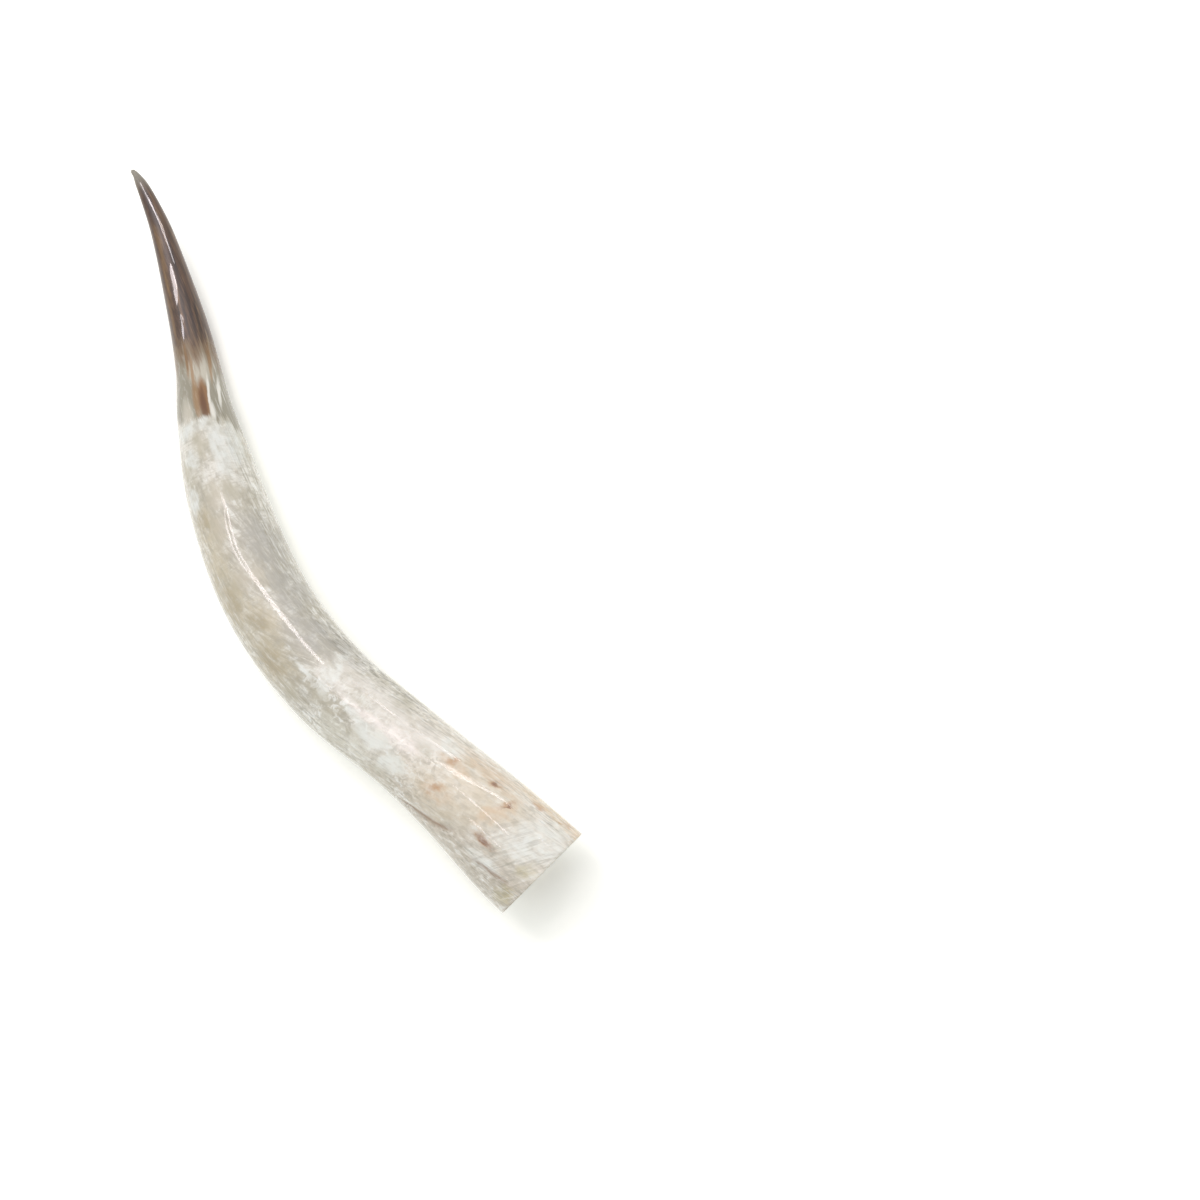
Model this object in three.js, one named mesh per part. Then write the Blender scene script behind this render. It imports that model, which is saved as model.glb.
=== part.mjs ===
// A polished cow horn, lying on its side on the plane Z = 0.
// Millimetres, +Z up. The cut base faces -X and the tip points to +X. Seen from above the horn
// swings out to +Y, bends back, and turns a little outwards again at the tip.
import * as THREE from 'three';

// Driving dimensions, in millimetres

// Middle line of the horn, from the cut base to the tip: X, Y, and height above the floor.
const middleLine = [
  [-3, -6, 45.6],
  [88, 24, 45.6],
  [180, 57, 45],
  [270, 88, 43.6],
  [370, 101, 41],
  [475, 90, 39.8],
  [585, 65, 32],
  [645, 47, 23.6],
  [700, 31, 26],
  [790, 7.6, 44],
  [832, 0.8, 54.3],
  [857, -0.8, 60.4],
  [866, 0.8, 62.6],
];

// Half width of the outside: distance from the cut base along the middle line, half width.
const outsideProfile = [
  [0, 47.5],
  [70, 46.5],
  [150, 44.5],
  [260, 44],
  [390, 43.5],
  [470, 41.5],
  [545, 37.2],
  [600, 31],
  [660, 24.3],
  [730, 19.4],
  [800, 13.8],
  [848, 9.9],
  [884, 6.3],
  [894, 4],
];

// The tip is rounded to this radius, as an arc of a few steps from the very end.
const tipRadius = 2.2;
const tipSteps = [0, 35, 70];

// Half width of the hollow that the bone core filled, measured in the same way.
const hollowProfile = [
  [0, 44],
  [70, 42.4],
  [150, 39.8],
  [260, 38.6],
  [370, 37],
  [450, 32],
  [520, 23],
  [572, 12],
];
const hollowDepth = 596;

const heightToWidth = 0.94;
const roundFrom = 470;
const roundTo = 640;

// The base opens out on its outer, lower side.
const flareDepth = 11.5;
const flareLength = 160;
const flareAngle = -12;

// A shallow groove runs down the outer side and climbs towards the top near the base.
const grooveDepth = 3;
const grooveWidth = 12;
const grooveFullBy = 120;
const grooveFrom = 270;
const grooveAngleAtBase = 58;
const grooveAngleFar = 2;
const grooveClimbFrom = 60;
const grooveClimbTo = 190;

// The saw cut: its top stands out past its bottom, and it is turned a little in plan.
const cutOverhang = 5.5;
const cutSkew = -4.5;
const cutFade = 160;

const segmentsAround = 48;
const ringsOutside = 62;
const ringsHollow = 30;

const hornColour = 0xd9d3c7;

const radians = THREE.MathUtils.degToRad;
const smooth = THREE.MathUtils.smoothstep;

const toVector = ([x, y, z]) => new THREE.Vector3(x, y, z);
const middle = new THREE.CatmullRomCurve3(middleLine.map(toVector), false, 'centripetal');
middle.arcLengthDivisions = 800;
const hornLength = middle.getLength();

// Points of a smooth profile through [distance, half width] knots, as [half width, distance].
function profilePoints(knots, count) {
  const curve = new THREE.SplineCurve(knots.map(([t, r]) => new THREE.Vector2(t, r)));
  return curve.getSpacedPoints(count).map((p) => new THREE.Vector2(p.y, p.x));
}

function tipPoint(degrees) {
  const angle = radians(degrees);
  const drop = tipRadius * (1 - Math.cos(angle));
  return new THREE.Vector2(tipRadius * Math.sin(angle), hornLength - drop);
}

// Outside from the tip to the base, across the cut rim, then into the hollow to its end.
function hornProfile() {
  const tip = tipSteps.map(tipPoint);
  const outside = profilePoints(outsideProfile, ringsOutside).reverse();
  const hollow = profilePoints(hollowProfile, ringsHollow);
  const hollowEnd = new THREE.Vector2(0, hollowDepth);
  return [...tip, ...outside, ...hollow, hollowEnd];
}

// How far the groove has climbed round the horn at a distance from the base, in degrees.
function grooveAngle(distance) {
  const climbed = 1 - smooth(distance, grooveClimbFrom, grooveClimbTo);
  return grooveAngleFar + (grooveAngleAtBase - grooveAngleFar) * climbed;
}

// Change of half width from the flare and the groove, at an angle from the outer side upwards.
function relief(distance, angle) {
  const flareFade = 1 - smooth(distance, 0, flareLength);
  const towardsFlare = Math.max(0, Math.cos(angle - radians(flareAngle)));
  const flare = flareDepth * flareFade * towardsFlare ** 2;
  const grooveFade = 1 - smooth(distance, grooveFullBy, grooveFrom);
  const fromGroove = angle - radians(grooveAngle(distance));
  const offset = Math.atan2(Math.sin(fromGroove), Math.cos(fromGroove));
  const groove = grooveDepth * grooveFade * Math.exp(-((offset / radians(grooveWidth)) ** 2));
  return flare - groove;
}

// Moves a point of the straight, round horn to its place on the bent one.
function bend(point) {
  const distance = point.y;
  const radius = Math.hypot(point.x, point.z);
  const angle = Math.atan2(point.z, point.x);
  const u = THREE.MathUtils.clamp(distance / hornLength, 0, 1);
  const centre = middle.getPointAt(u);
  const along = middle.getTangentAt(u);
  const side = new THREE.Vector3(0, 0, 1).cross(along).normalize();
  const up = along.clone().cross(side);
  const squash = THREE.MathUtils.lerp(heightToWidth, 1, smooth(distance, roundFrom, roundTo));
  const half = radius > 0 ? radius + relief(distance, angle) : 0;
  const across = half * Math.cos(angle);
  const rise = half * Math.sin(angle) * squash;
  const fade = 1 - smooth(distance, 0, cutFade);
  const overhang = rise * Math.tan(radians(cutOverhang));
  const skew = across * Math.tan(radians(cutSkew));
  const place = centre.addScaledVector(side, across).addScaledVector(up, rise);
  return place.addScaledVector(along, -fade * (overhang + skew));
}

// The origin is the middle of the footprint's box, on the floor.
function standOnOrigin(geometry) {
  geometry.computeBoundingBox();
  const { min, max } = geometry.boundingBox;
  geometry.translate(-(min.x + max.x) / 2, -(min.y + max.y) / 2, -min.z);
}

function hornGeometry() {
  const geometry = new THREE.LatheGeometry(hornProfile(), segmentsAround);
  const position = geometry.attributes.position;
  const point = new THREE.Vector3();
  for (let i = 0; i < position.count; i++) {
    point.fromBufferAttribute(position, i);
    const moved = bend(point);
    position.setXYZ(i, moved.x, moved.y, moved.z);
  }
  geometry.computeVertexNormals();
  standOnOrigin(geometry);
  return geometry;
}

const part = new THREE.Group();
const hornMaterial = new THREE.MeshStandardMaterial({
  color: hornColour,
  roughness: 0.18,
  metalness: 0,
});
const horn = new THREE.Mesh(hornGeometry(), hornMaterial);
horn.name = 'horn';
part.add(horn);

export default part;
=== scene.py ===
import functools
import math
import bmesh
import bpy
from mathutils import Matrix, Vector, noise


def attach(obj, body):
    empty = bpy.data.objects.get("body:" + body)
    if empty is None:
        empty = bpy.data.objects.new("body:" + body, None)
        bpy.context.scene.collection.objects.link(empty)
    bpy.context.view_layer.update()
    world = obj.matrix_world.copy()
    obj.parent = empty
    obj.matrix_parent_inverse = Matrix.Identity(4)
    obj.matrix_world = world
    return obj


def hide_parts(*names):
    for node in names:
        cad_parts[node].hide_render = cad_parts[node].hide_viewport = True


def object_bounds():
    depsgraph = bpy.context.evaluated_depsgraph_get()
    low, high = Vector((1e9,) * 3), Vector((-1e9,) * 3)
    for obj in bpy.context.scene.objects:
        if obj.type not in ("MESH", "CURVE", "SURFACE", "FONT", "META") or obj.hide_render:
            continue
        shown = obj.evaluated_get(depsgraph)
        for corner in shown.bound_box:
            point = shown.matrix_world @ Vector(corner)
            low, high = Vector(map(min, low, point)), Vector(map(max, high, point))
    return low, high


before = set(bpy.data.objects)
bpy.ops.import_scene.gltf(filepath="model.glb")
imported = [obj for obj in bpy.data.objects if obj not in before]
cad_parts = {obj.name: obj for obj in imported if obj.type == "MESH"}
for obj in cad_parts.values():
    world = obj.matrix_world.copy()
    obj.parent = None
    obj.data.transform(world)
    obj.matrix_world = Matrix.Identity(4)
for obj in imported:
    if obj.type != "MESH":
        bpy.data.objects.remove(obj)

# A long polished cow horn lying on a white floor, seen from above. The horn's sizes are in
# millimetres and become metres in its mesh and shader. Camera, floor and lamps are in metres.
mm = 0.001
cadLow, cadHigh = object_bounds()
print("frame loaded, horn is %.0f mm long" % ((cadHigh.x - cadLow.x) / mm))


def smoothStep(x, low, high):
    # 0 at low, 1 at high; low may be the larger one
    t = min(1, max(0, (x - low) / (high - low)))
    return t * t * (3 - 2 * t)


def smoothCurve(knots, x):
    # smooth line through (x, y) knots, straight on past both ends
    last = len(knots) - 1
    i = max([k for k in range(last) if knots[k][0] <= x], default=0)
    (x0, y0), (x1, y1) = knots[i], knots[i + 1]
    before, after = knots[max(0, i - 1)], knots[min(last, i + 2)]
    span = x1 - x0
    slope0 = (y1 - before[1]) / (x1 - before[0]) * span
    slope1 = (after[1] - y0) / (after[0] - x0) * span
    t = (x - x0) / span
    if t < 0:
        return y0 + slope0 * t
    if t > 1:
        return y1 + slope1 * (t - 1)
    return (y0 * (2 * t**3 - 3 * t**2 + 1) + slope0 * (t**3 - 2 * t**2 + t)
            + y1 * (3 * t**2 - 2 * t**3) + slope1 * (t**3 - t**2))


def colour(red, green, blue):
    # screen colour from 0 to 255, as Blender's linear colour
    def linear(c):
        c = c / 255
        return c / 12.92 if c <= 0.04045 else ((c + 0.055) / 1.055) ** 2.4
    return (linear(red), linear(green), linear(blue), 1)


def newObject(name, data):
    made = bpy.data.objects.new(name, data)
    bpy.context.collection.objects.link(made)
    return made


def setInputs(node, values):
    for name, value in values.items():
        node.inputs[name].default_value = value


# Camera: above the floor, past the base, tilted a little

view = {
    "place": (-0.5587, -0.1161, 1.511),   # metres
    "tilt": 13.5,                         # degrees from straight down
    "tiltHeading": -19.26,                # degrees from +X, as the next one
    "pictureTopHeading": -31.26,
    "focalPixels": 1510,
    "pictureSide": 1200,
    "sensorWidth": 36,                    # mm
}


def makeCamera(v):
    data = bpy.data.cameras.new("camera")
    data.sensor_width = v["sensorWidth"]
    data.lens = v["sensorWidth"] * v["focalPixels"] / v["pictureSide"]
    heading = math.radians(v["tiltHeading"])
    axis = Vector((math.sin(heading), -math.cos(heading), 0))
    turned = Matrix.Rotation(math.radians(v["pictureTopHeading"] - 90), 4, "Z")
    tilted = Matrix.Rotation(math.radians(v["tilt"]), 4, axis) @ turned
    made = newObject("camera", data)
    made.matrix_world = Matrix.Translation(v["place"]) @ tilted
    bpy.context.scene.camera = made


makeCamera(view)
print("camera ready")


# Horn: shape. Distances run along the middle line from the cut base. Angles run round it,
# from the outer side (0) over the top (90) to the inner side (180).

horn = {
    # middle line from the cut base to the tip: x, y, height
    "middle": [(-3, -6, 45.6), (88, 24, 45.6), (180, 57, 45), (270, 88, 43.6),
               (370, 101, 41), (475, 90, 39.8), (585, 65, 32), (645, 47, 23.6),
               (700, 31, 26), (790, 7.6, 44), (832, 0.8, 54.3), (857, -0.8, 60.4),
               (866, 0.8, 62.6)],
    # distance, half width of the outside
    "outside": [(0, 47.5), (70, 46.5), (150, 44.5), (260, 44), (390, 43.5), (470, 41.5),
                (545, 37.2), (600, 31), (660, 24.3), (730, 19.4), (800, 13.8), (848, 9.9),
                (884, 6.3), (894, 4)],
    "tipRadius": 2.2,
    # distance, half width of the hollow
    "hollow": [(0, 44), (70, 42.4), (150, 39.8), (260, 38.6), (370, 37), (450, 32),
               (520, 23), (572, 12)],
    "hollowDepth": 596, "hollowEndPower": 14,   # a higher power makes a blunter end
    "heightToWidth": 0.94,
    "roundFrom": 470, "roundTo": 640,
    "flareDepth": 11.5, "flareLength": 160, "flareAngle": -12,
    "grooveDepth": 3, "grooveWidth": 12, "grooveFullBy": 120, "grooveFrom": 270,
    "grooveAngleAtBase": 58, "grooveAngleFar": 2,
    "grooveClimbFrom": 60, "grooveClimbTo": 190,
    # sharp folds in the groove: (distance, angle) along each, width and depth. They and the
    # lines of polish fade in over this length at their ends
    "foldFade": 30, "polishFade": 8,
    "folds": [([(270, 3), (192, 1), (138, 21), (94, 42), (74, 60)], 3.2, 1.1),
              ([(72, 38), (36, 43), (0, 49)], 2.6, 0.5)],
    "cutOverhang": 5.5, "cutSkew": -4.5, "cutFade": 160,
    # lines of high polish: (distance, angle, half width) along each
    "polish": [[(510, 95, 1), (492, 95, 1.8), (480, 92, 2.4), (470, 90, 2.6), (458, 89, 2.7),
                (448, 88, 2.7), (437, 89, 2.6), (426, 91, 2.4), (415, 93, 2), (404, 96, 1.8),
                (372, 100, 2), (340, 103, 2.2), (310, 103, 2), (286, 104, 1.2)],
               [(294, 87, 1.4), (260, 87, 2), (230, 90, 2.5), (190, 93, 3.6), (165, 96, 3.8),
                (142, 98, 2)],
               [(150, 98, 3), (128, 104, 3), (114, 108, 2.6), (92, 115, 2.4), (70, 119, 1.6),
                (48, 119, 1)],
               [(262, 115, 1.6), (228, 113, 2), (208, 112, 2), (178, 115, 2), (152, 118, 1.6),
                (122, 123, 1)],
               [(122, 93, 1), (86, 93, 1.6), (40, 91, 1.4)],
               [(90, 76, 1), (62, 74, 1.2), (34, 74, 1)],
               [(184, 80, 1), (166, 79, 1.6), (150, 78, 1)],
               [(32, 112, 1.2), (8, 112, 1.2)],
               [(898, 87, 0.8), (880, 93, 0.8), (870, 97, 0.9), (850, 102, 1), (834, 106, 1.1),
                (818, 109, 1.1), (802, 112, 1), (784, 111, 0.8)],
               [(790, 96, 1.2), (780, 94, 2), (762, 88, 2.4), (748, 82, 2), (738, 79, 0.9)],
               [(732, 86, 1), (724, 85, 2), (712, 79, 2.6), (698, 78, 2.4), (690, 78, 1.4)]],
    # waves left by grinding: height, length along, length across. They fade in between these
    # half widths of the horn
    "waves": [(0.08, 60, 26), (0.02, 16, 10)], "wavesFade": (4, 20),
    # rough wall of the hollow, in the same way, full by this distance from the cut
    "hollowBumps": (0.7, 26, 14), "hollowBumpsFullBy": 40,
    "middleSteps": 900, "around": 144, "outsideRings": 400, "hollowRings": 110,
    "mergeWithin": 0.0001,
}


class MiddleLine:
    # the bent middle line, asked by distance from the base
    def __init__(self, knots, steps):
        plan = [(x, y) for x, y, z in knots]
        height = [(x, z) for x, y, z in knots]
        first, last = knots[0][0], knots[-1][0]
        xs = [first + (last - first) * i / steps for i in range(steps + 1)]
        self.points = [Vector((x, smoothCurve(plan, x), smoothCurve(height, x))) for x in xs]
        self.travelled = [0]
        for a, b in zip(self.points, self.points[1:]):
            self.travelled.append(self.travelled[-1] + (b - a).length)
        self.length = self.travelled[-1]
        self.known = {}

    def at(self, distance):
        # centre, then the directions along, to the outer side and up
        key = round(distance, 3)
        if key not in self.known:
            self.known[key] = self.work(min(max(distance, 0), self.length))
        return self.known[key]

    def work(self, distance):
        last = len(self.points) - 1
        i = min(int(distance / self.length * last), last - 1)
        while self.travelled[i] > distance:
            i -= 1
        while i < last - 1 and self.travelled[i + 1] < distance:
            i += 1
        step = self.travelled[i + 1] - self.travelled[i]
        centre = self.points[i].lerp(self.points[i + 1], (distance - self.travelled[i]) / step)
        # the direction is taken over a few steps, so that it changes smoothly
        along = (self.points[min(i + 3, last)] - self.points[max(i - 2, 0)]).normalized()
        side = Vector((0, 0, 1)).cross(along).normalized()
        return centre, along, side, along.cross(side)


def relief(h, distance, angle):
    # the flare at the base and the groove that climbs to it
    flare = h["flareDepth"] * (1 - smoothStep(distance, 0, h["flareLength"]))
    flare *= max(0, math.cos(angle - math.radians(h["flareAngle"]))) ** 2
    climbed = 1 - smoothStep(distance, h["grooveClimbFrom"], h["grooveClimbTo"])
    centre = h["grooveAngleFar"] + (h["grooveAngleAtBase"] - h["grooveAngleFar"]) * climbed
    away = angle - math.radians(centre)
    away = math.atan2(math.sin(away), math.cos(away)) / math.radians(h["grooveWidth"])
    depth = h["grooveDepth"] * (1 - smoothStep(distance, h["grooveFullBy"], h["grooveFrom"]))
    return flare - depth * math.exp(-away * away)


@functools.cache
def knotValues(knots, distance):
    # the values of the knots at this distance, and how far inside their ends it is
    knots = sorted(knots)
    values = [smoothCurve([(k[0], k[i]) for k in knots], distance)
              for i in range(1, len(knots[0]))]
    return values, min(distance - knots[0][0], knots[-1][0] - distance)


def foldAt(h, distance, angle, half):
    # 1 in the bottom of a fold, 0 away from it, and its depth
    best, depth = 0, 0
    for knots, width, foldDepth in h["folds"]:
        (centre,), inside = knotValues(tuple(knots), distance)
        if inside > 0:
            away = half * (angle - math.radians(centre)) / width
            here = math.exp(-away * away) * smoothStep(inside, 0, h["foldFade"])
            if here > best:
                best, depth = here, foldDepth
    return best, best * depth


def polishAt(h, distance, angle, half):
    # distance from the nearest line of polish as a share of its half width, and the signed
    # distance from the first line
    farOff = 9
    nearest, fromFirst = farOff, farOff
    for line in h["polish"]:
        (centre, width), inside = knotValues(tuple(line), distance)
        if inside > 0:
            away = half * (angle - math.radians(centre))
            fade = smoothStep(inside, h["polishFade"], 0)
            nearest = min(nearest, abs(away) / width + fade)
            if line is h["polish"][0]:
                fromFirst = away
    return nearest, fromFirst


def waves(h, distance, angle, half):
    # change of half width, none on the thin end of the tip
    change = 0
    for height, length, width in h["waves"]:
        p = Vector((half * math.cos(angle) / width, half * math.sin(angle) / width,
                    distance / length))
        change += height * noise.noise(p)
    return change * smoothStep(half, *h["wavesFade"])


def bentPoint(h, line, distance, angle, half):
    # a point of the straight horn at its place on the bent one
    centre, along, side, up = line.at(distance)
    roundness = smoothStep(distance, h["roundFrom"], h["roundTo"])
    squash = h["heightToWidth"] + (1 - h["heightToWidth"]) * roundness
    across, rise = half * math.cos(angle), half * math.sin(angle) * squash
    lean = rise * math.tan(math.radians(h["cutOverhang"]))
    lean += across * math.tan(math.radians(h["cutSkew"]))
    lean *= 1 - smoothStep(distance, 0, h["cutFade"])
    return centre + side * across + up * rise - along * lean


def spinShell(bm, start, end, rings, around):
    # a straight line of rings, spun round the Z axis; each end is (half width, distance)
    line = bm.edges.new([bm.verts.new((r, 0, z)) for r, z in (start, end)])
    cut = bmesh.ops.subdivide_edges(bm, edges=[line], cuts=rings)
    edges = {e for e in cut["geom"] if isinstance(e, bmesh.types.BMEdge)} | {line}
    points = {v for e in edges for v in e.verts}
    bmesh.ops.spin(bm, geom=list(points) + list(edges), axis=(0, 0, 1), cent=(0, 0, 0),
                   angle=math.tau, steps=around, use_merge=True)


def halfWidth(h, line, distance, isOuter):
    # of the outside, round at the tip, or of the hollow, closed by a blunt end
    if isOuter:
        half = smoothCurve(h["outside"], distance)
        tipStart = line.length - h["tipRadius"]
        if distance > tipStart:
            half *= math.sqrt(max(0, 1 - ((distance - tipStart) / h["tipRadius"]) ** 2))
        return half
    half = smoothCurve(h["hollow"], distance)
    return half * math.sqrt(max(0, 1 - (distance / h["hollowDepth"]) ** h["hollowEndPower"]))


def makeHorn(h):
    line = MiddleLine(h["middle"], h["middleSteps"])
    bm = bmesh.new()
    straight = bm.verts.layers.float_vector.new("straight")
    outer = bm.verts.layers.float.new("outer")
    fold = bm.verts.layers.float.new("fold")
    polish = bm.verts.layers.float.new("polish")
    thread = bm.verts.layers.float.new("thread")
    spinShell(bm, (0, line.length), (h["outside"][0][1], 0), h["outsideRings"], h["around"])
    for v in bm.verts:
        v[outer] = 1
    spinShell(bm, (h["hollow"][0][1], 0), (0, h["hollowDepth"]), h["hollowRings"], h["around"])
    bmesh.ops.remove_doubles(bm, verts=bm.verts, dist=h["mergeWithin"])
    bmesh.ops.bridge_loops(bm, edges=[e for e in bm.edges if e.is_boundary])
    bumpHeight, bumpAlong, bumpAcross = h["hollowBumps"]
    for v in bm.verts:
        distance, angle = v.co.z, math.atan2(v.co.y, v.co.x)
        half = halfWidth(h, line, distance, v[outer])
        if half > 0:
            half += relief(h, distance, angle)
            if v[outer]:
                v[fold], depth = foldAt(h, distance, angle, half)
                v[polish], v[thread] = polishAt(h, distance, angle, half)
                half += waves(h, distance, angle, half) - depth
            else:
                p = v.co / bumpAcross
                p.z = distance / bumpAlong
                fade = smoothStep(distance, 0, h["hollowBumpsFullBy"])
                half += bumpHeight * noise.noise(p) * fade
        v[straight] = Vector((half * math.cos(angle), half * math.sin(angle), distance)) * mm
        v.co = bentPoint(h, line, distance, angle, half) * mm
    bmesh.ops.recalc_face_normals(bm, faces=bm.faces)
    mesh = bpy.data.meshes.new("polished_horn")
    bm.to_mesh(mesh)
    bm.free()
    mesh.shade_smooth()
    lows = [min(v.co[i] for v in mesh.vertices) for i in range(3)]
    highs = [max(v.co[i] for v in mesh.vertices) for i in range(3)]
    shift = (cadLow + cadHigh - Vector(lows) - Vector(highs)) / 2
    shift.z = cadLow.z - lows[2]
    mesh.transform(Matrix.Translation(shift))
    return newObject("polished_horn", mesh)


hornPiece = makeHorn(horn)
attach(hornPiece, "root")
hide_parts("horn")
print("horn mesh ready, %d faces" % len(hornPiece.data.polygons))


# Shader sums: a Wire is a node's output, and sums with Wires make Math nodes. A Wire without
# an output only makes other nodes.

def operatorPair(operation):
    # an operator and its reflected form
    def plain(self, other):
        return self.maths(operation, self, other)

    def reflected(self, other):
        return self.maths(operation, other, self)
    return plain, reflected


class Wire:
    def __init__(self, tree, output=None):
        self.tree, self.output = tree, output

    def node(self, kind, settings, inputs, output=0):
        made = self.tree.nodes.new("ShaderNode" + kind)
        for name, value in settings.items():
            setattr(made, name, value)
        for name, value in inputs.items():
            if isinstance(value, Wire):
                self.tree.links.new(value.output, made.inputs[name])
            else:
                made.inputs[name].default_value = value
        return Wire(self.tree, made.outputs[output])

    def maths(self, operation, *values):
        return self.node("Math", {"operation": operation}, dict(enumerate(values)))

    __add__, __radd__ = operatorPair("ADD")
    __sub__, __rsub__ = operatorPair("SUBTRACT")
    __mul__, __rmul__ = operatorPair("MULTIPLY")
    __truediv__, __rtruediv__ = operatorPair("DIVIDE")
    __pow__, __rpow__ = operatorPair("POWER")

    def larger(self, other):
        return self.maths("MAXIMUM", self, other)

    def absolute(self):
        return self.maths("ABSOLUTE", self)

    def pick(self, low, high):
        # for numbers: low where this is 0, high where it is 1
        return self.node("Mix", {}, {0: self, 2: low, 3: high})

    def smooth(self, low, high):
        # 0 at low, 1 at high; low may be the larger one
        if isinstance(low, Wire) or isinstance(high, Wire) or low < high:
            return self.node("MapRange", {"interpolation_type": "SMOOTHSTEP"},
                             {"Value": self, "From Min": low, "From Max": high})
        return 1 - self.smooth(high, low)

    def scaled(self, factors, shift=(0, 0, 0)):
        # for vectors
        return self.node("VectorMath", {"operation": "MULTIPLY_ADD"},
                         {0: self, 1: factors, 2: shift})

    def covered(self, other, factor):
        # for colours: this one with the other one over it
        return self.node("Mix", {"data_type": "RGBA"}, {0: factor, 6: self, 7: other}, 2)


# Horn: finish. Colours are as they look on the screen. A mark is (distance, across, half
# length, half width, slant), all but the slant in mm.

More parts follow.
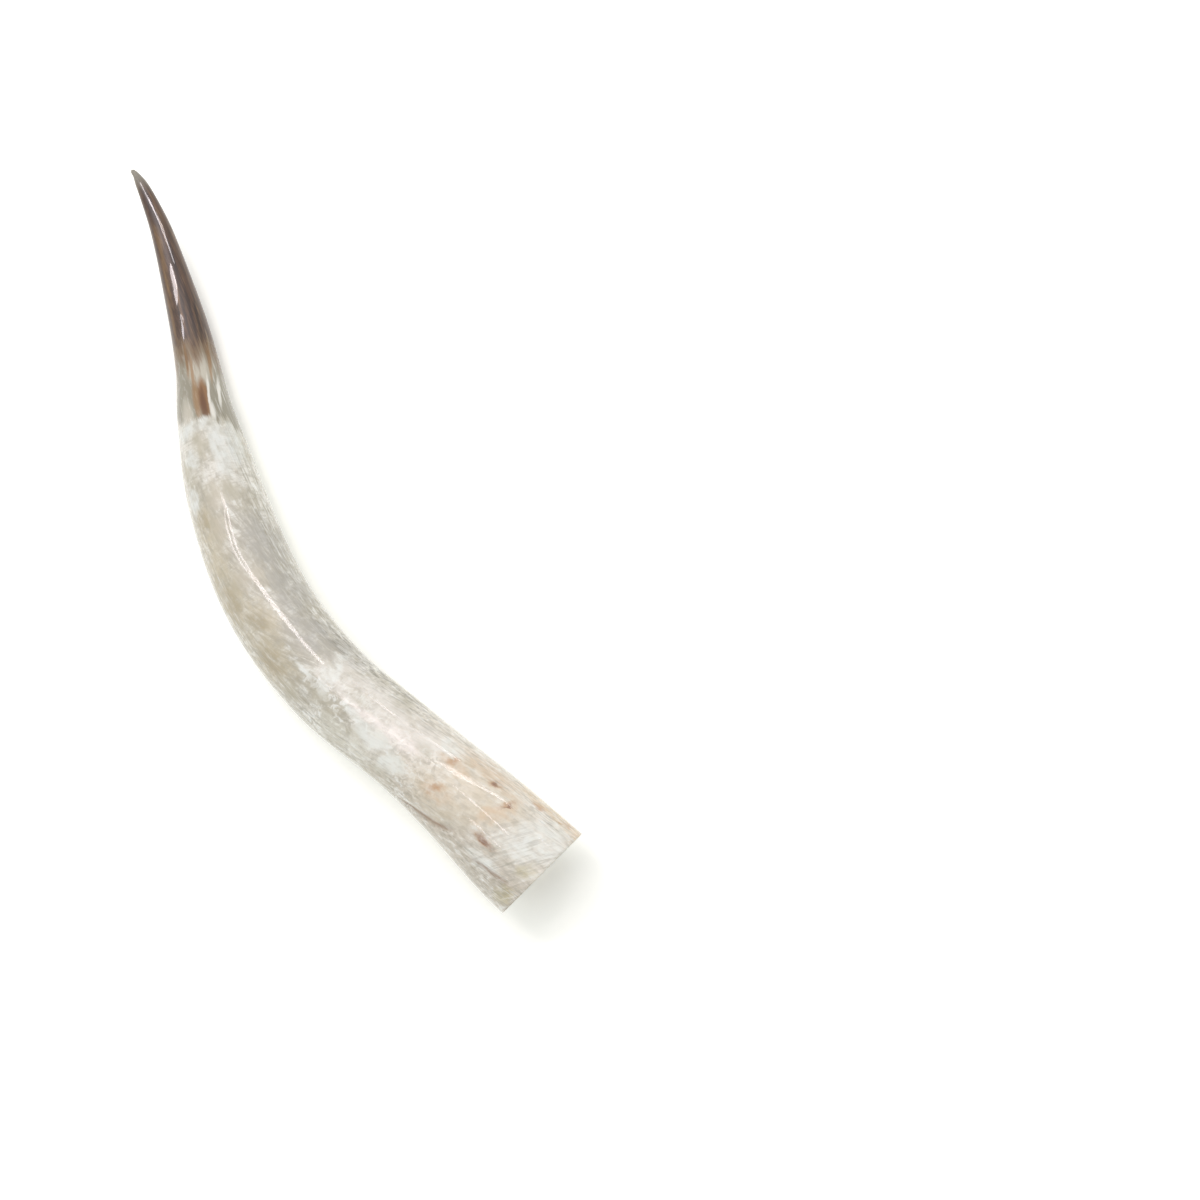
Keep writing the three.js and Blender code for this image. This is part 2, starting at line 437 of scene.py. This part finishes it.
finish = {
    "milk": (211, 210, 201), "cloud": (178, 174, 158), "shade": (152, 148, 134),
    "white": (226, 229, 225), "baseMilk": (213, 207, 195), "outerShade": (172, 164, 148),
    "fibre": (140, 137, 124), "paleFibre": (226, 227, 223), "growth": (164, 160, 144),
    "edgeFibre": (120, 118, 108), "fold": (130, 104, 80), "fringe": (106, 78, 44),
    "dark": (85, 64, 49), "darkStreak": (45, 33, 27), "paleStreak": (122, 97, 68),
    "clear": (134, 130, 114), "tipEnd": (134, 132, 121), "hollow": (204, 192, 172),
    # distances from the cut between which each of these goes from none to full
    "nearBase": (250, 150), "outerShadeFrom": (230, 130), "brushedFrom": (72, 40),
    "clearFrom": (587, 598), "fringeFrom": (642, 690), "darkFrom": (682, 706),
    "tipEndFrom": (866, 900), "onTip": (640, 700),
    "thinLinesFrom": (150, 120), "innerThinLinesFrom": (290, 270),
    # stretches that fade at both ends: start, full from, full to, end. The crest stretch gets
    # painted shade on its top
    "middle": (250, 310, 470, 520), "paintedTopShade": (250, 330, 560, 620),
    "curdled": (110, 150, 260, 310), "innerEdge": (150, 200, 300, 360),
    "threaded": (418, 430, 480, 492),
    # places across, negative on the inner side, between which each goes from none to full.
    # sideways counts on both sides, and upper is a height above the middle line
    "outerShadeAcross": (4, 44), "curdledAcross": (-30, -8), "brushedAcross": (-32, -4),
    "innerEdgeAcross": (-22, -38), "innerThinLinesAcross": (-12, -15),
    "sideways": (14.7, 39.9), "upper": (-12, 6),
    # noises: size of blotches across and along, seed, detail, roughness, distortion. Each seed
    # moves a noise this far
    "seedStep": (7.3, 3.1, 5.7),
    "grains": {
        "clouds": (20, 30, 1, 5, 0.58, 0.4), "flecks": (6, 10, 2, 5, 0.6, 0.3),
        "fibres": (1.5, 50, 3, 3, 0.6), "paleFibres": (2.4, 30, 8, 4, 0.6),
        "strands": (4.5, 150, 4, 2, 0.5), "crossing": (12, 2, 5, 5, 0.65, 0.3),
        "streaks": (4, 38, 6, 5, 0.6), "patchy": (9, 13, 9, 4, 0.6),
        "curds": (7, 8, 31, 4, 0.55, 1.2), "strokes": (34, 5, 12, 4, 0.6, 0.2),
        "unevenPolish": (5, 9, 17, 3, 0.6), "ripples": (7, 14, 15, 2, 0.5),
    },
    # heights of the noises between which each of these goes from none to full
    "levels": {
        "clouds": (0.38, 0.6), "darkFlecks": (0.46, 0.64), "paleFlecks": (0.46, 0.3),
        "streaks": (0.47, 0.6), "edgeStreaks": (0.5, 0.6), "crossing": (0.48, 0.66),
        "darkCurds": (0.52, 0.64), "paleCurds": (0.47, 0.36), "patchy": (0.3, 0.62),
        "darkStrokes": (0.48, 0.66), "paleStrokes": (0.48, 0.34),
        "fibres": (0.48, 0.68), "paleFibres": (0.5, 0.72),
        "paleStreaks": (0.5, 0.68), "darkStreaks": (0.42, 0.6),
    },
    "fibreLean": 0.15, "streakLean": 0.45, "strokeSlope": 0.58,
    # how far the marks' edges wander: blotch size across and along, share of that size
    "markWander": (10, 15, 1.5), "tipWander": (5, 24, 0.6),
    # their seed, detail and roughness
    "wanderAlong": (21, 5, 0.65), "wanderAcross": (22, 5, 0.65),
    # how far the ragged edges reach with the strands and the fibres, and the share of that
    # where the clear length starts
    "raggedReach": (80, 50), "clearRagged": 0.35,
    # the clear length's start comes nearer for each mm past this line on the inner side, and
    # lies further off on the outer one
    "clearInner": (22, 1.4), "clearOuter": (6, 0.6),
    # a thread without polish splits the first line of polish, in mm from its middle. The
    # edges of all lines are in shares of their half width
    "threadAcross": (1.15, 0.75), "polishEdge": (1.2, 0.9), "polishUnevenness": 0.7,
    "sidesBelow": (0.79, 0.62),           # sine of the angle round the horn
    "thinSharpness": 0.8, "middleSharpness": 0.65, "baseSharpness": 0.4,
    "roughness": 0.09, "lineRoughness": 0.2, "sideRoughness": 0.14,
    "dullRoughness": 0.42, "hollowRoughness": 0.7,
    "clearCoat": 0.85, "coatRoughness": 0.03,
    "rippleStrength": 0.15, "rippleHeight": 0.4,
    "glow": 0.3, "glowReach": (1.0, 0.86, 0.7), "glowScale": 5,   # light under the surface
    "bending": 1.54,                      # index of refraction
    # colour, strength, softness, marks
    "marks": [
        ((161, 159, 151), 0.75, 1.0, [(438, -26, 36, 17, 0), (384, -28, 36, 15, 0),
                                      (326, -20, 30, 17, 0.3), (284, -36, 26, 8, 0)]),
        ((182, 173, 148), 0.65, 1.0, [(420, 26, 70, 14, 0), (334, 25, 34, 17, 0),
                                      (368, 10, 28, 14, 0.4), (470, 22, 30, 12, 0)]),
        ((178, 172, 155), 0.7, 1.0, [(465, 10, 24, 9, 0), (412, 7, 20, 8, 0.2),
                                     (506, 4, 14, 9, 0), (409, -9, 14, 6, 0)]),
        ((156, 146, 121), 0.6, 1.0, [(398, 28, 15, 8, 0), (330, 26, 15, 9, 0),
                                     (368, 14, 10, 7, 0.4), (486, 25, 10, 6, 0)]),
        ((172, 168, 150), 0.65, 1.0, [(564, 7, 12, 8, 0), (540, 24, 14, 7, 0),
                                      (506, -10, 10, 12, 0.2), (512, 6, 9, 8, 0),
                                      (270, 14, 10, 8, 0), (254, 24, 8, 8, 0),
                                      (240, -8, 12, 6, 0.3), (222, 20, 8, 8, 0.4),
                                      (206, -32, 10, 9, 0), (186, 36, 24, 9, 0),
                                      (578, -34, 34, 5, 0), (300, 32, 14, 6, 0),
                                      (240, 37, 14, 6, 0), (160, -8, 9, 9, 0)]),
        ((213, 210, 202), 0.7, 1.0, [(266, -16, 26, 17, 0.3), (236, -22, 26, 12, 0),
                                      (206, -16, 30, 12, 0), (168, -20, 18, 12, 0)]),
        ((206, 206, 194), 0.6, 1.0, [(246, 30, 16, 10, 0.3), (212, 28, 18, 12, 0.4),
                                     (176, 22, 14, 12, 0.4)]),
        ((198, 186, 161), 0.5, 1.1, [(92, -18, 46, 17, 0.2), (112, 10, 38, 24, 0.3),
                                      (76, -8, 18, 18, 0.3), (202, 8, 10, 6, 0)]),
        # painted highlight: a soft pinkish-white band along the second line of polish
        ((227, 221, 215), 0.6, 0.9, [(184, -2, 24, 8, 0), (222, 0, 34, 5, 0)]),
        ((198, 168, 132), 0.4, 1.1, [(96, -34, 34, 8, 0), (70, -8, 7, 18, 0.4),
                                     (128, -18, 16, 7, 0), (124, 14, 16, 9, 0.3)]),
        ((204, 170, 118), 0.5, 1.1, [(38, -45, 34, 5.5, 0), (2, -47, 24, 6.5, 0)]),
        ((182, 174, 138), 0.6, 0.9, [(12, 13, 7, 9, 0.3), (12, 44, 10, 9, 0)]),
        ((204, 208, 203), 0.8, 0.9, [(558, -13, 36, 8, 0.1), (592, -4, 9, 5, 0),
                                      (586, 16, 9, 22, 0), (552, 18, 10, 7, 0.3),
                                      (510, 27, 12, 6, 0), (560, -26, 24, 7, 0)]),
        ((214, 217, 211), 0.8, 0.9, [(278, -10, 8, 22, -0.3), (302, 8, 14, 3, 0.5),
                                      (24, -12, 24, 22, 0.3), (142, -27, 10, 6, 0),
                                      (204, 12, 22, 9, 0.2), (48, 34, 20, 6, 0.3),
                                      (232, 6, 14, 4, 0.3), (176, 20, 14, 8, 0.4)]),
        ((166, 124, 84), 0.6, 1.1, [(132, -20, 4, 4, 0.5), (128, 13, 4, 6, 0.3),
                                    (88, -29, 5, 4, 0.4), (68, -20, 2.5, 7, 0.4),
                                    (44, -39, 9, 2.4, 0.2), (16, -44, 6, 2.4, 0),
                                    (60, 18, 13, 4, 0.1)]),
        ((118, 78, 54), 0.7, 1.1, [(60, 18, 9, 2.2, 0.1), (87, -29, 3, 2.4, 0.3),
                                   (66, -19, 1.4, 4.5, 0.4)]),
    ],
    # the same, on the clear length and on the dark tip
    "clearMarks": [
        ((190, 186, 172), 0.7, 1.0, [(655, -6, 20, 12, 0), (600, 12, 22, 6, 0)]),
        ((140, 104, 58), 0.7, 1.0, [(618, 0, 26, 3.2, 0.3), (650, 1, 30, 1.6, 0),
                                    (668, -17, 30, 1.5, 0), (672, 5, 24, 1.8, 0)]),
        ((126, 86, 42), 0.9, 0.8, [(618, -7.5, 25, 5, 0.6)]),
        ((88, 56, 30), 0.8, 1.0, [(611, -6.5, 19, 3, 0.5)]),
        # painted highlights: thin white glints on the clear length
        ((216, 216, 208), 0.8, 0.9, [(622, -13, 24, 1.2, 0), (626, -22, 20, 1.4, 0),
                                     (600, -14, 12, 2, 0)]),
    ],
    "tipMarks": [
        ((132, 105, 68), 0.45, 1.0, [(806, 5, 30, 2, 0.5), (770, 8, 26, 1.6, 0),
                                     (730, 12, 30, 1.6, 0), (822, 1, 16, 1.2, 0)]),
        ((36, 25, 21), 0.75, 1.0, [(852, 0, 28, 2.8, 0), (735, -3, 32, 1.6, 0),
                                   (728, -9, 30, 1.5, 0), (722, 3, 26, 1.6, 0),
                                   (716, -14, 26, 1.3, 0), (790, -5, 30, 1.8, 0)]),
    ],
}


class HornPattern:
    # noises and masks in the straightened horn's own coordinates
    def __init__(self, tree, f):
        self.start, self.finish = Wire(tree), f
        self.straight = self.attribute("straight", "Vector")
        split = self.start.node("SeparateXYZ", {}, {0: self.straight}).output.node
        self.x, self.y, self.z = [Wire(tree, output) for output in split.outputs]
        self.across, self.rise, self.distance = self.x / mm, self.y / mm, self.z / mm
        self.leaning = self.drifting(f["fibreLean"])
        self.fibres = self.grain(self.leaning, "fibres")
        self.paleFibres = self.level(self.grain(self.leaning, "paleFibres"), "paleFibres")
        self.strands = self.grain(self.straight, "strands")
        self.streaks = self.grain(self.drifting(f["streakLean"]), "streaks")
        self.upper = self.rise.smooth(*f["upper"])
        self.sideways = self.across.absolute().smooth(*f["sideways"])
        self.nearBase = self.distance.smooth(*f["nearBase"])
        self.middle = self.stretch("middle")
        self.onTip = self.distance.smooth(*f["onTip"])
        # outer is 1 on the outside and 0 in the hollow
        self.hidden = self.attribute("outer").smooth(0.6, 0.4)

    def attribute(self, name, output="Fac"):
        return self.start.node("Attribute", {"attribute_name": name}, {}, output)

    def drifting(self, lean):
        # coordinates in which straight lines drift across as they go along
        return self.start.node("CombineXYZ", {}, {0: self.x - self.z * lean, 1: self.y,
                                                  2: self.z})

    def stretch(self, name):
        # 1 along a stretch of the horn, fading out at both its ends
        start, fullFrom, fullTo, end = self.finish[name]
        return self.distance.smooth(start, fullFrom) * self.distance.smooth(end, fullTo)

    def level(self, grain, name):
        return grain.smooth(*self.finish["levels"][name])

    def between(self, first, second, factor):
        f = self.finish
        return self.start.node("Mix", {"data_type": "RGBA"},
                               {0: factor, 6: colour(*f[first]), 7: colour(*f[second])}, 2)

    def layered(self, body, layers):
        # covers the body in turn: colour, where, strength
        for name, mask, strength in layers:
            body = body.covered(colour(*self.finish[name]), mask * strength)
        return body

    def grain(self, place, name):
        return self.blotches(place, *self.finish["grains"][name])

    def blotches(self, place, across, along, seed, detail, roughness, distortion=0):
        # noise from 0 to 1 round 0.5, moved to a place of its own by the seed
        factors = (1 / (across * mm), 1 / (across * mm), 1 / (along * mm))
        shift = [seed * step for step in self.finish["seedStep"]]
        place = place.scaled(factors, shift)
        return self.start.node("TexNoise", {}, {"Vector": place, "Scale": 1, "Detail": detail,
                                                "Roughness": roughness,
                                                "Distortion": distortion})

    def wander(self, across, along, reach):
        # shifts the marks about, so that their edges are uneven
        f = self.finish
        ahead = self.blotches(self.straight, across, along, *f["wanderAlong"])
        aside = self.blotches(self.straight, across, along, *f["wanderAcross"])
        self.aheadShift = (ahead - 0.5) * (reach * along)
        self.acrossShift = (aside - 0.5) * (reach * across)

    def mark(self, distance, across, halfLength, halfWidth, slant, softness):
        # 1 inside an oval, 0 outside it
        away = self.across + self.acrossShift - across
        ahead = self.distance + self.aheadShift - distance
        if slant:
            ahead = ahead - away * slant
        ahead = ahead / halfLength
        away = away / halfWidth
        return (ahead * ahead + away * away).smooth(1 + softness, max(0, 1 - softness))

    def marked(self, body, groups, uneven):
        for tint, strength, softness, marks in groups:
            mask = 0
            for mark in marks:
                mask = self.mark(*mark, softness).larger(mask)
            body = body.covered(colour(*tint), mask * self.upper * uneven * strength)
        return body


def paleGround(p, f):
    # milky ground with soft clouds and flecks, warmer towards the base; painted shade on top
    clouds, flecks = p.grain(p.leaning, "clouds"), p.grain(p.leaning, "flecks")
    crossing, curds = p.grain(p.leaning, "crossing"), p.grain(p.straight, "curds")
    outerSide = p.across.smooth(*f["outerShadeAcross"])
    curdled = p.stretch("curdled") * p.across.smooth(*f["curdledAcross"])
    body = p.between("milk", "cloud", p.level(clouds, "clouds") * 0.9)
    return p.layered(body, [
        ("baseMilk", p.nearBase, 0.7),
        ("outerShade", outerSide * p.distance.smooth(*f["outerShadeFrom"]), 0.6),
        ("shade", p.level(flecks, "darkFlecks") * (1 - p.nearBase * 0.25), 0.6),
        ("shade", p.level(p.streaks, "streaks") * p.middle, 0.7),
        ("white", p.level(flecks, "paleFlecks"), 0.6),
        ("growth", p.level(crossing, "crossing") * (1 - p.nearBase * 0.8), 0.6),
        ("shade", p.level(curds, "darkCurds") * curdled, 0.55),
        ("white", p.level(curds, "paleCurds") * curdled, 0.6),
        # painted shade: the top of the middle length darkened against the overhead light
        ("shade", (1 - p.sideways) * p.stretch("paintedTopShade"), 0.22)])


def spotsPaintedHighlightAndStrokes(p, f, body):
    # spots and patches, a painted highlight near the base, and brushed strokes beside the cut
    patchy = p.level(p.grain(p.leaning, "patchy"), "patchy") * 0.75 + 0.35
    p.wander(*f["markWander"])
    body = p.marked(body, f["marks"], patchy)
    slanted = p.start.node("CombineXYZ", {}, {0: p.x, 1: p.y,
                                              2: p.z - p.x * f["strokeSlope"]})
    strokes = p.grain(slanted, "strokes")
    brushed = p.distance.smooth(*f["brushedFrom"]) * p.across.smooth(*f["brushedAcross"])
    brushed = brushed * p.upper
    return p.layered(body, [("shade", p.level(strokes, "darkStrokes") * brushed, 0.55),
                            ("white", p.level(strokes, "paleStrokes") * brushed, 0.4)])


def fibresAlong(p, f, body):
    # fibres, most of all towards the sides, and the brown in the bottom of the folds
    innerEdge = p.across.smooth(*f["innerEdgeAcross"]) * p.stretch("innerEdge")
    return p.layered(body, [
        ("fibre", p.level(p.fibres, "fibres"), p.sideways * 0.5 + 0.08),
        ("paleFibre", p.paleFibres, p.sideways * 0.45 + 0.12),
        ("edgeFibre", p.level(p.streaks, "edgeStreaks") * innerEdge, 0.6),
        ("fold", p.attribute("fold") ** 2, 0.75)])


def clearLength(p, f, body, ragged):
    # the clear length, its spots and painted highlight streaks
    clear = p.between("clear", "fibre", p.level(p.fibres, "fibres") * 0.6)
    clear = p.layered(clear, [("paleFibre", p.paleFibres, 0.35)])
    clear = p.marked(clear, f["clearMarks"], 1)
    innerLine, innerPull = f["clearInner"]
    outerLine, outerPush = f["clearOuter"]
    pastInner = (0 - p.across - innerLine).larger(0)
    pastOuter = (p.across - outerLine).larger(0)
    toTip = p.distance + ragged * f["clearRagged"] + pastInner * innerPull - pastOuter * outerPush
    return body.covered(clear, toTip.smooth(*f["clearFrom"]))


def darkTip(p, f, body, ragged):
    # the brown fringe, the dark tip and its paler end
    toTip = p.distance + ragged
    body = p.layered(body, [("fringe", toTip.smooth(*f["fringeFrom"]), 0.75)])
    tip = p.between("dark", "paleStreak", p.level(p.strands, "paleStreaks") * 0.8)
    tip = p.layered(tip, [("darkStreak", p.level(p.fibres, "darkStreaks"), 0.6)])
    tip = p.marked(tip, f["tipMarks"], 1)
    body = body.covered(tip, toTip.smooth(*f["darkFrom"]))
    return p.layered(body, [("tipEnd", p.distance.smooth(*f["tipEndFrom"]), 0.85)])


def hornPolish(p, f):
    # roughness and coat: glossy low on the sides and along the lines, duller between them
    threaded = p.attribute("thread").absolute().smooth(*f["threadAcross"])
    uneven = (p.grain(p.straight, "unevenPolish") - 0.5) * f["polishUnevenness"]
    polished = (p.attribute("polish") + uneven).smooth(*f["polishEdge"])
    polished = polished * (1 - threaded * p.stretch("threaded"))
    steepness = p.rise / (p.across * p.across + p.rise * p.rise) ** 0.5
    onSides = steepness.smooth(*f["sidesBelow"]) * (1 - p.onTip * 0.5)
    innerLines = p.across.smooth(*f["innerThinLinesAcross"])
    innerLines = innerLines * p.distance.smooth(*f["innerThinLinesFrom"])
    thinLines = p.distance.smooth(*f["thinLinesFrom"]).larger(innerLines)
    sharp = p.onTip.larger(thinLines * f["thinSharpness"])
    sharp = sharp.larger(p.middle * f["middleSharpness"]).larger(p.nearBase * f["baseSharpness"])
    shine = sharp * (f["roughness"] - f["lineRoughness"]) + f["lineRoughness"]
    rough = onSides.pick(polished.pick(f["dullRoughness"], shine), f["sideRoughness"])
    coat = polished * (1 - p.hidden) * (p.onTip * 0.9 + 0.1) * f["clearCoat"]
    return rough.larger(p.hidden * f["hollowRoughness"]), coat


def hornFinish(f):
    material = bpy.data.materials.new("polished_horn")
    material.use_nodes = True
    tree = material.node_tree
    shader = tree.nodes["Principled BSDF"]
    p = HornPattern(tree, f)
    body = paleGround(p, f)
    body = spotsPaintedHighlightAndStrokes(p, f, body)
    body = fibresAlong(p, f, body)
    strandReach, fibreReach = f["raggedReach"]
    ragged = (p.strands - 0.5) * strandReach + (p.fibres - 0.5) * fibreReach
    p.wander(*f["tipWander"])
    body = clearLength(p, f, body, ragged)
    body = darkTip(p, f, body, ragged)
    body = body.covered(colour(*f["hollow"]), p.hidden)
    rough, coat = hornPolish(p, f)
    bump = p.start.node("Bump", {}, {"Strength": f["rippleStrength"],
                                     "Distance": f["rippleHeight"] * mm,
                                     "Height": p.grain(p.straight, "ripples")})
    varying = {"Base Color": body, "Roughness": rough, "Coat Weight": coat, "Normal": bump}
    for name, wire in varying.items():
        tree.links.new(wire.output, shader.inputs[name])
    setInputs(shader, {"Coat Roughness": f["coatRoughness"], "Subsurface Weight": f["glow"],
                       "Subsurface Radius": f["glowReach"],
                       "Subsurface Scale": f["glowScale"] * mm, "IOR": f["bending"]})
    return material


hornPiece.data.materials.append(hornFinish(finish))
print("horn finish ready")


# Floor and lights

studio = {
    "floorSide": 14,                      # metres, as the lamps' sizes
    "floorColour": (253, 255, 250),
    "floorRoughness": 0.8,
    "floorGlow": 0.1,                     # lightens the shadows
    "lampHeight": 2.4,
    # each strip: x and y of one end, x and y of the other, width, share of the brightness
    "strips": [(0.50, 0.62, 0.43, -0.42, 0.20, 0.6), (0.62, -0.70, 1.40, -3.0, 0.09, 1.3),
               (1.33, -1.62, 2.40, -4.0, 0.09, 1.4), (-0.03, -0.03, 0.28, -0.03, 0.10, 1),
               (-0.30, 1.42, -0.62, 2.30, 0.08, 0.9), (0.06, 0.98, -0.04, 1.20, 0.10, 0.7),
               (0.55, -1.90, 0.70, -1.90, 0.10, 0.9), (0.965, -0.85, 0.965, -0.12, 0.14, 1.6),
               (0.90, -0.11, 1.50, -0.11, 0.26, 1.2), (1.12, -0.36, 0.92, -0.80, 0.08, 1),
               (0.93, -0.78, 0.76, -1.70, 0.08, 1), (0.96, -0.15, 1.31, 0.50, 0.42, 0.9),
               (1.31, 0.50, 1.64, 1.10, 0.22, 1), (1.58, 0.60, 2.33, 1.28, 0.22, 1),
               (1.02, 0.62, 1.28, 0.62, 0.36, 1.1), (0.92, 0.35, 1.05, 0.35, 0.32, 1.1)],
    "brightness": 24,                     # watts for a square metre of lamp
    "lampColour": (255, 245, 248),
    "surround": 0.87,                     # brightness of the room all round
}


def makeFloor(s):
    mesh = bpy.data.meshes.new("floor")
    bm = bmesh.new()
    bmesh.ops.create_grid(bm, x_segments=1, y_segments=1, size=s["floorSide"] / 2)
    bm.to_mesh(mesh)
    bm.free()
    floor = newObject("floor", mesh)
    paint = bpy.data.materials.new("floor_paint")
    paint.use_nodes = True
    tint = colour(*s["floorColour"])
    setInputs(paint.node_tree.nodes["Principled BSDF"],
              {"Base Color": tint, "Roughness": s["floorRoughness"],
               "Emission Color": tint, "Emission Strength": s["floorGlow"]})
    mesh.materials.append(paint)


def makeStrip(s, x0, y0, x1, y1, width, share):
    data = bpy.data.lights.new("strip_lamp", "AREA")
    data.shape = "RECTANGLE"
    data.size = math.hypot(x1 - x0, y1 - y0)
    data.size_y = width
    data.energy = s["brightness"] * share * data.size * width
    data.color = colour(*s["lampColour"])[:3]
    lamp = newObject("strip_lamp", data)
    lamp.location = ((x0 + x1) / 2, (y0 + y1) / 2, s["lampHeight"])
    lamp.rotation_euler.z = math.atan2(y1 - y0, x1 - x0)


def makeSurround(s):
    world = bpy.data.worlds.new("surround")
    world.use_nodes = True
    setInputs(world.node_tree.nodes["Background"],
              {"Color": colour(255, 255, 255), "Strength": s["surround"]})
    bpy.context.scene.world = world


makeFloor(studio)
for strip in studio["strips"]:
    makeStrip(studio, *strip)
makeSurround(studio)
bpy.context.scene.view_settings.view_transform = "Standard"
print("floor and lights ready")
